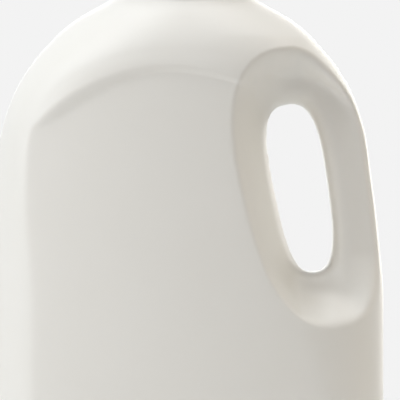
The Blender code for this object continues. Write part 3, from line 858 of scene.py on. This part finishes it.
def noise(tree, place, size_mm, detail):
    texture = add_node(tree, "ShaderNodeTexNoise", [("Vector", place)],
                       Scale=1.0 / (size_mm * MM), Detail=detail)
    return texture.outputs["Fac"]


def two_tints(tree, share, light, dark):
    """A colour that runs from the light tint to the dark one."""
    tint = add_node(tree, "ShaderNodeMix", [("Factor", share)], data_type="RGBA")
    tint.inputs[6].default_value = colour(light)
    tint.inputs[7].default_value = colour(dark)
    return tint.outputs[2]


def finish_plastic(tree, tint, bump, **settings):
    """The shader and the output of a plastic."""
    links = [("Base Color", tint), ("Normal", bump.outputs["Normal"])]
    shader = add_node(tree, "ShaderNodeBsdfPrincipled", links, **settings)
    add_node(tree, "ShaderNodeOutputMaterial", [("Surface", shader.outputs["BSDF"])])


def dress(thing, material):
    thing.data.materials.clear()
    thing.data.materials.append(material)


# %% [markdown]
# ### Blow-moulded HDPE
#
# High-density polyethylene with white pigment is slightly waxy and its gloss is soft. The
# grit-blasted mould leaves a grain of about a third of a millimetre, the wall's thickness drifts by
# some centimetres, which clouds the white a little, and the two halves of the mould leave a fine
# raised line all round, where they met. That line is a tenth of a millimetre high, so it is a bump.

# %% Bottle plastic
HDPE_CLOUD_MM = 45.0
HDPE_GRAIN_MM = 0.35
HDPE_GRAIN_DEEP_MM = 0.004
PARTING_LINE_HALF_WIDTH_MM = 0.4
PARTING_LINE_PROUD_MM = 0.12


def satin_hdpe():
    material, tree = new_material("satin_hdpe")
    place = add_node(tree, "ShaderNodeTexCoord").outputs["Object"]
    tint = two_tints(tree, noise(tree, place, HDPE_CLOUD_MM, 1.0), "#ECEBE6", "#EEEDE9")
    grain = noise(tree, place, HDPE_GRAIN_MM, 2.0)
    grain_height = add_node(tree, "ShaderNodeMath", [(0, grain)], operation="MULTIPLY")
    grain_height.inputs[1].default_value = HDPE_GRAIN_DEEP_MM * MM
    axes = add_node(tree, "ShaderNodeSeparateXYZ", [("Vector", place)])
    off_plane = add_node(tree, "ShaderNodeMath", [(0, axes.outputs["Y"])], operation="ABSOLUTE")
    line = add_node(tree, "ShaderNodeMapRange", [("Value", off_plane.outputs[0])],
                    interpolation_type="SMOOTHSTEP", From_Max=PARTING_LINE_HALF_WIDTH_MM * MM,
                    To_Min=PARTING_LINE_PROUD_MM * MM, To_Max=0.0)
    height = add_node(tree, "ShaderNodeMath", [(0, grain_height.outputs[0]), (1, line.outputs[0])],
                      operation="ADD")
    bump = add_node(tree, "ShaderNodeBump", [("Height", height.outputs[0])], Strength=1.0, Distance=1.0)
    finish_plastic(tree, tint, bump, Roughness=0.42, IOR=1.54)
    return material


dress(bottle, satin_hdpe())
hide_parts("bottle")
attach(bottle, "container")

# %% [markdown]
# ### Moulded polypropylene and polyethylene
#
# The cap is injection-moulded polypropylene: harder and glossier than the bottle, with a fine
# spark-eroded texture. The spout is low-density polyethylene, softer, greyer and a little
# see-through. Both have a faint cloudiness where the melt flowed, some centimetres across.


# %% Moulded plastics
MOULD_GRAIN_DEEP_MM = 0.01
LIGHT_TRAVELS = 1.0 * MM


def moulded(name, light, dark, cloud_mm, grain_mm, roughness, ior, see_through):
    material, tree = new_material(name)
    place = add_node(tree, "ShaderNodeTexCoord").outputs["Object"]
    tint = two_tints(tree, noise(tree, place, cloud_mm, 2.0), light, dark)
    bump = add_node(tree, "ShaderNodeBump", [("Height", noise(tree, place, grain_mm, 2.0))],
                    Strength=0.3, Distance=MOULD_GRAIN_DEEP_MM * MM)
    finish_plastic(tree, tint, bump, Roughness=roughness, IOR=ior,
                   Subsurface_Weight=see_through, Subsurface_Scale=LIGHT_TRAVELS)
    return material


dress(cap, moulded("cap_polypropylene", "#EDEDE8", "#EAEAE4", cloud_mm=30.0, grain_mm=0.5,
                   roughness=0.35, ior=1.49, see_through=0.0))
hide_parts("measuring_cap")
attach(cap, "cap")
dress(spout, moulded("spout_ldpe", "#E6E6E0", "#E2E2DB", cloud_mm=20.0, grain_mm=0.6,
                     roughness=0.4, ior=1.51, see_through=0.2))
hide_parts("pour_spout")
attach(spout, "container")

# %% [markdown]
# ### Polyethylene foam
#
# The washer is closed-cell foam, made by blowing gas through melted polyethylene and skiving the
# block into sheet. Cells of about half a millimetre leave pits on its faces, and it has no gloss.

# %% Foam of the ring
FOAM_CELL_MM = 0.5
FOAM_PIT_DEEP_MM = 0.1


def pe_foam():
    material, tree = new_material("pe_foam")
    place = add_node(tree, "ShaderNodeTexCoord").outputs["Object"]
    cells = add_node(tree, "ShaderNodeTexVoronoi", [("Vector", place)], Scale=1.0 / (FOAM_CELL_MM * MM))
    off_cell = cells.outputs["Distance"]
    tint = two_tints(tree, off_cell, "#EEEEEA", "#DEDED8")
    bump = add_node(tree, "ShaderNodeBump", [("Height", off_cell)],
                    Strength=0.6, Distance=FOAM_PIT_DEEP_MM * MM)
    finish_plastic(tree, tint, bump, Roughness=0.85, IOR=1.5)
    return material


dress(seal, pe_foam())
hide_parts("sealing_ring")
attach(seal, "seal")

# %% [markdown]
# ## The studio
#
# The photograph has soft light from above and from the left, less from the camera's side, and a
# white surround that also lights the handle's side from behind. Eight soft boxes round the bottle
# do the same. The left ones are a little cool, and the low ones in front and on the right are weak
# and warm, because the photograph's darker sides are warmer than its light ones. Floor and air are
# pale; the camera and the plastic's gloss see both as one even white. Near the bottle a part of the
# floor's own shading stays, which keeps the shadow on it, and further out that fades away.

# %% Studio
FLOOR_SIZE = 8.0
AIR_STRENGTH = 0.05
FLOOR_SHADING_share = 0.15
SHADING_FADES_FROM = 0.5
SHADING_GONE_AT = 0.9


def seen_directly(tree):
    """1 for a ray from the camera, a reflection or a see-through part, otherwise 0."""
    path = add_node(tree, "ShaderNodeLightPath").outputs
    either = add_node(tree, "ShaderNodeMath", [(0, path["Is Camera Ray"]), (1, path["Is Glossy Ray"])],
                      operation="MAXIMUM")
    seen = add_node(tree, "ShaderNodeMath", [(0, either.outputs[0]), (1, path["Is Transmission Ray"])],
                    operation="MAXIMUM")
    return seen.outputs[0]


def studio_white():
    """Matt emulsion paint, seen as an even near-white that still takes the shadow."""
    material, tree = new_material("studio_white")
    paint = add_node(tree, "ShaderNodeBsdfDiffuse", Color=colour("#EDEDED"))
    shine = add_node(tree, "ShaderNodeEmission", Color=colour("#F3F3F3"), Strength=1.0)
    place = add_node(tree, "ShaderNodeTexCoord").outputs["Object"]
    off_middle = add_node(tree, "ShaderNodeVectorMath", [(0, place)], operation="LENGTH")
    even = add_node(tree, "ShaderNodeMapRange", [("Value", off_middle.outputs["Value"])],
                    From_Min=SHADING_FADES_FROM, From_Max=SHADING_GONE_AT,
                    To_Min=1.0 - FLOOR_SHADING_share, To_Max=1.0)
    part = add_node(tree, "ShaderNodeMath", [(0, seen_directly(tree)), (1, even.outputs["Result"])],
                    operation="MULTIPLY")
    blend = add_node(tree, "ShaderNodeMixShader",
                     [(0, part.outputs[0]), (1, paint.outputs[0]), (2, shine.outputs[0])])
    add_node(tree, "ShaderNodeOutputMaterial", [("Surface", blend.outputs[0])])
    return material


deselect()
bpy.ops.mesh.primitive_plane_add(size=FLOOR_SIZE, location=(0.0, 0.0, 0.0))
floor = newest("floor")
dress(floor, studio_white())

world = bpy.data.worlds.new("studio_air")
world.use_nodes = True
air = world.node_tree
strength = add_node(air, "ShaderNodeMath", [(0, seen_directly(air))], operation="MULTIPLY_ADD")
strength.inputs[1].default_value = 1.0 - AIR_STRENGTH
strength.inputs[2].default_value = AIR_STRENGTH
air.nodes["Background"].inputs["Color"].default_value = colour("#F3F3F3")
air.links.new(strength.outputs[0], air.nodes["Background"].inputs["Strength"])
bpy.context.scene.world = world

# %% Soft boxes
LAMP_DISTANCE = 2.0
LAMP_SIZE = 1.1


def soft_box(name, azimuth, elevation, power, tint="#FFFFFF"):
    """A square lamp aimed at the bottle. Azimuth 0 is the camera's side and 90 is +X, in degrees."""
    lamp = bpy.data.lights.new(name, "AREA")
    lamp.shape = "SQUARE"
    lamp.size = LAMP_SIZE
    lamp.energy = power
    lamp.color = colour(tint)[:3]
    turn, rise = math.radians(azimuth), math.radians(elevation)
    out = Vector((math.sin(turn) * math.cos(rise), -math.cos(turn) * math.cos(rise), math.sin(rise)))
    thing = bpy.data.objects.new(name, lamp)
    thing.location = VIEW_CENTRE + LAMP_DISTANCE * out
    thing.rotation_euler = out.to_track_quat("Z", "Y").to_euler()
    bpy.context.scene.collection.objects.link(thing)


# Name, azimuth, elevation, watts and colour.
soft_box("left_high", -60, 45, 13.0, "#F6FBFF")
soft_box("left_low", -60, 12, 12.5, "#F8FCFF")
soft_box("front_low", -30, 12, 2.5, "#FFD8A8")
soft_box("overhead", 0, 90, 22.0)
soft_box("right_side", 90, 45, 8.5, "#FFF9F0")
soft_box("right_low", 90, 12, 3.5, "#FFE4B4")
soft_box("right_behind", 150, 12, 9.0, "#FFFDF6")
soft_box("behind", 180, 12, 9.0)
bpy.context.scene.view_settings.view_transform = "Standard"
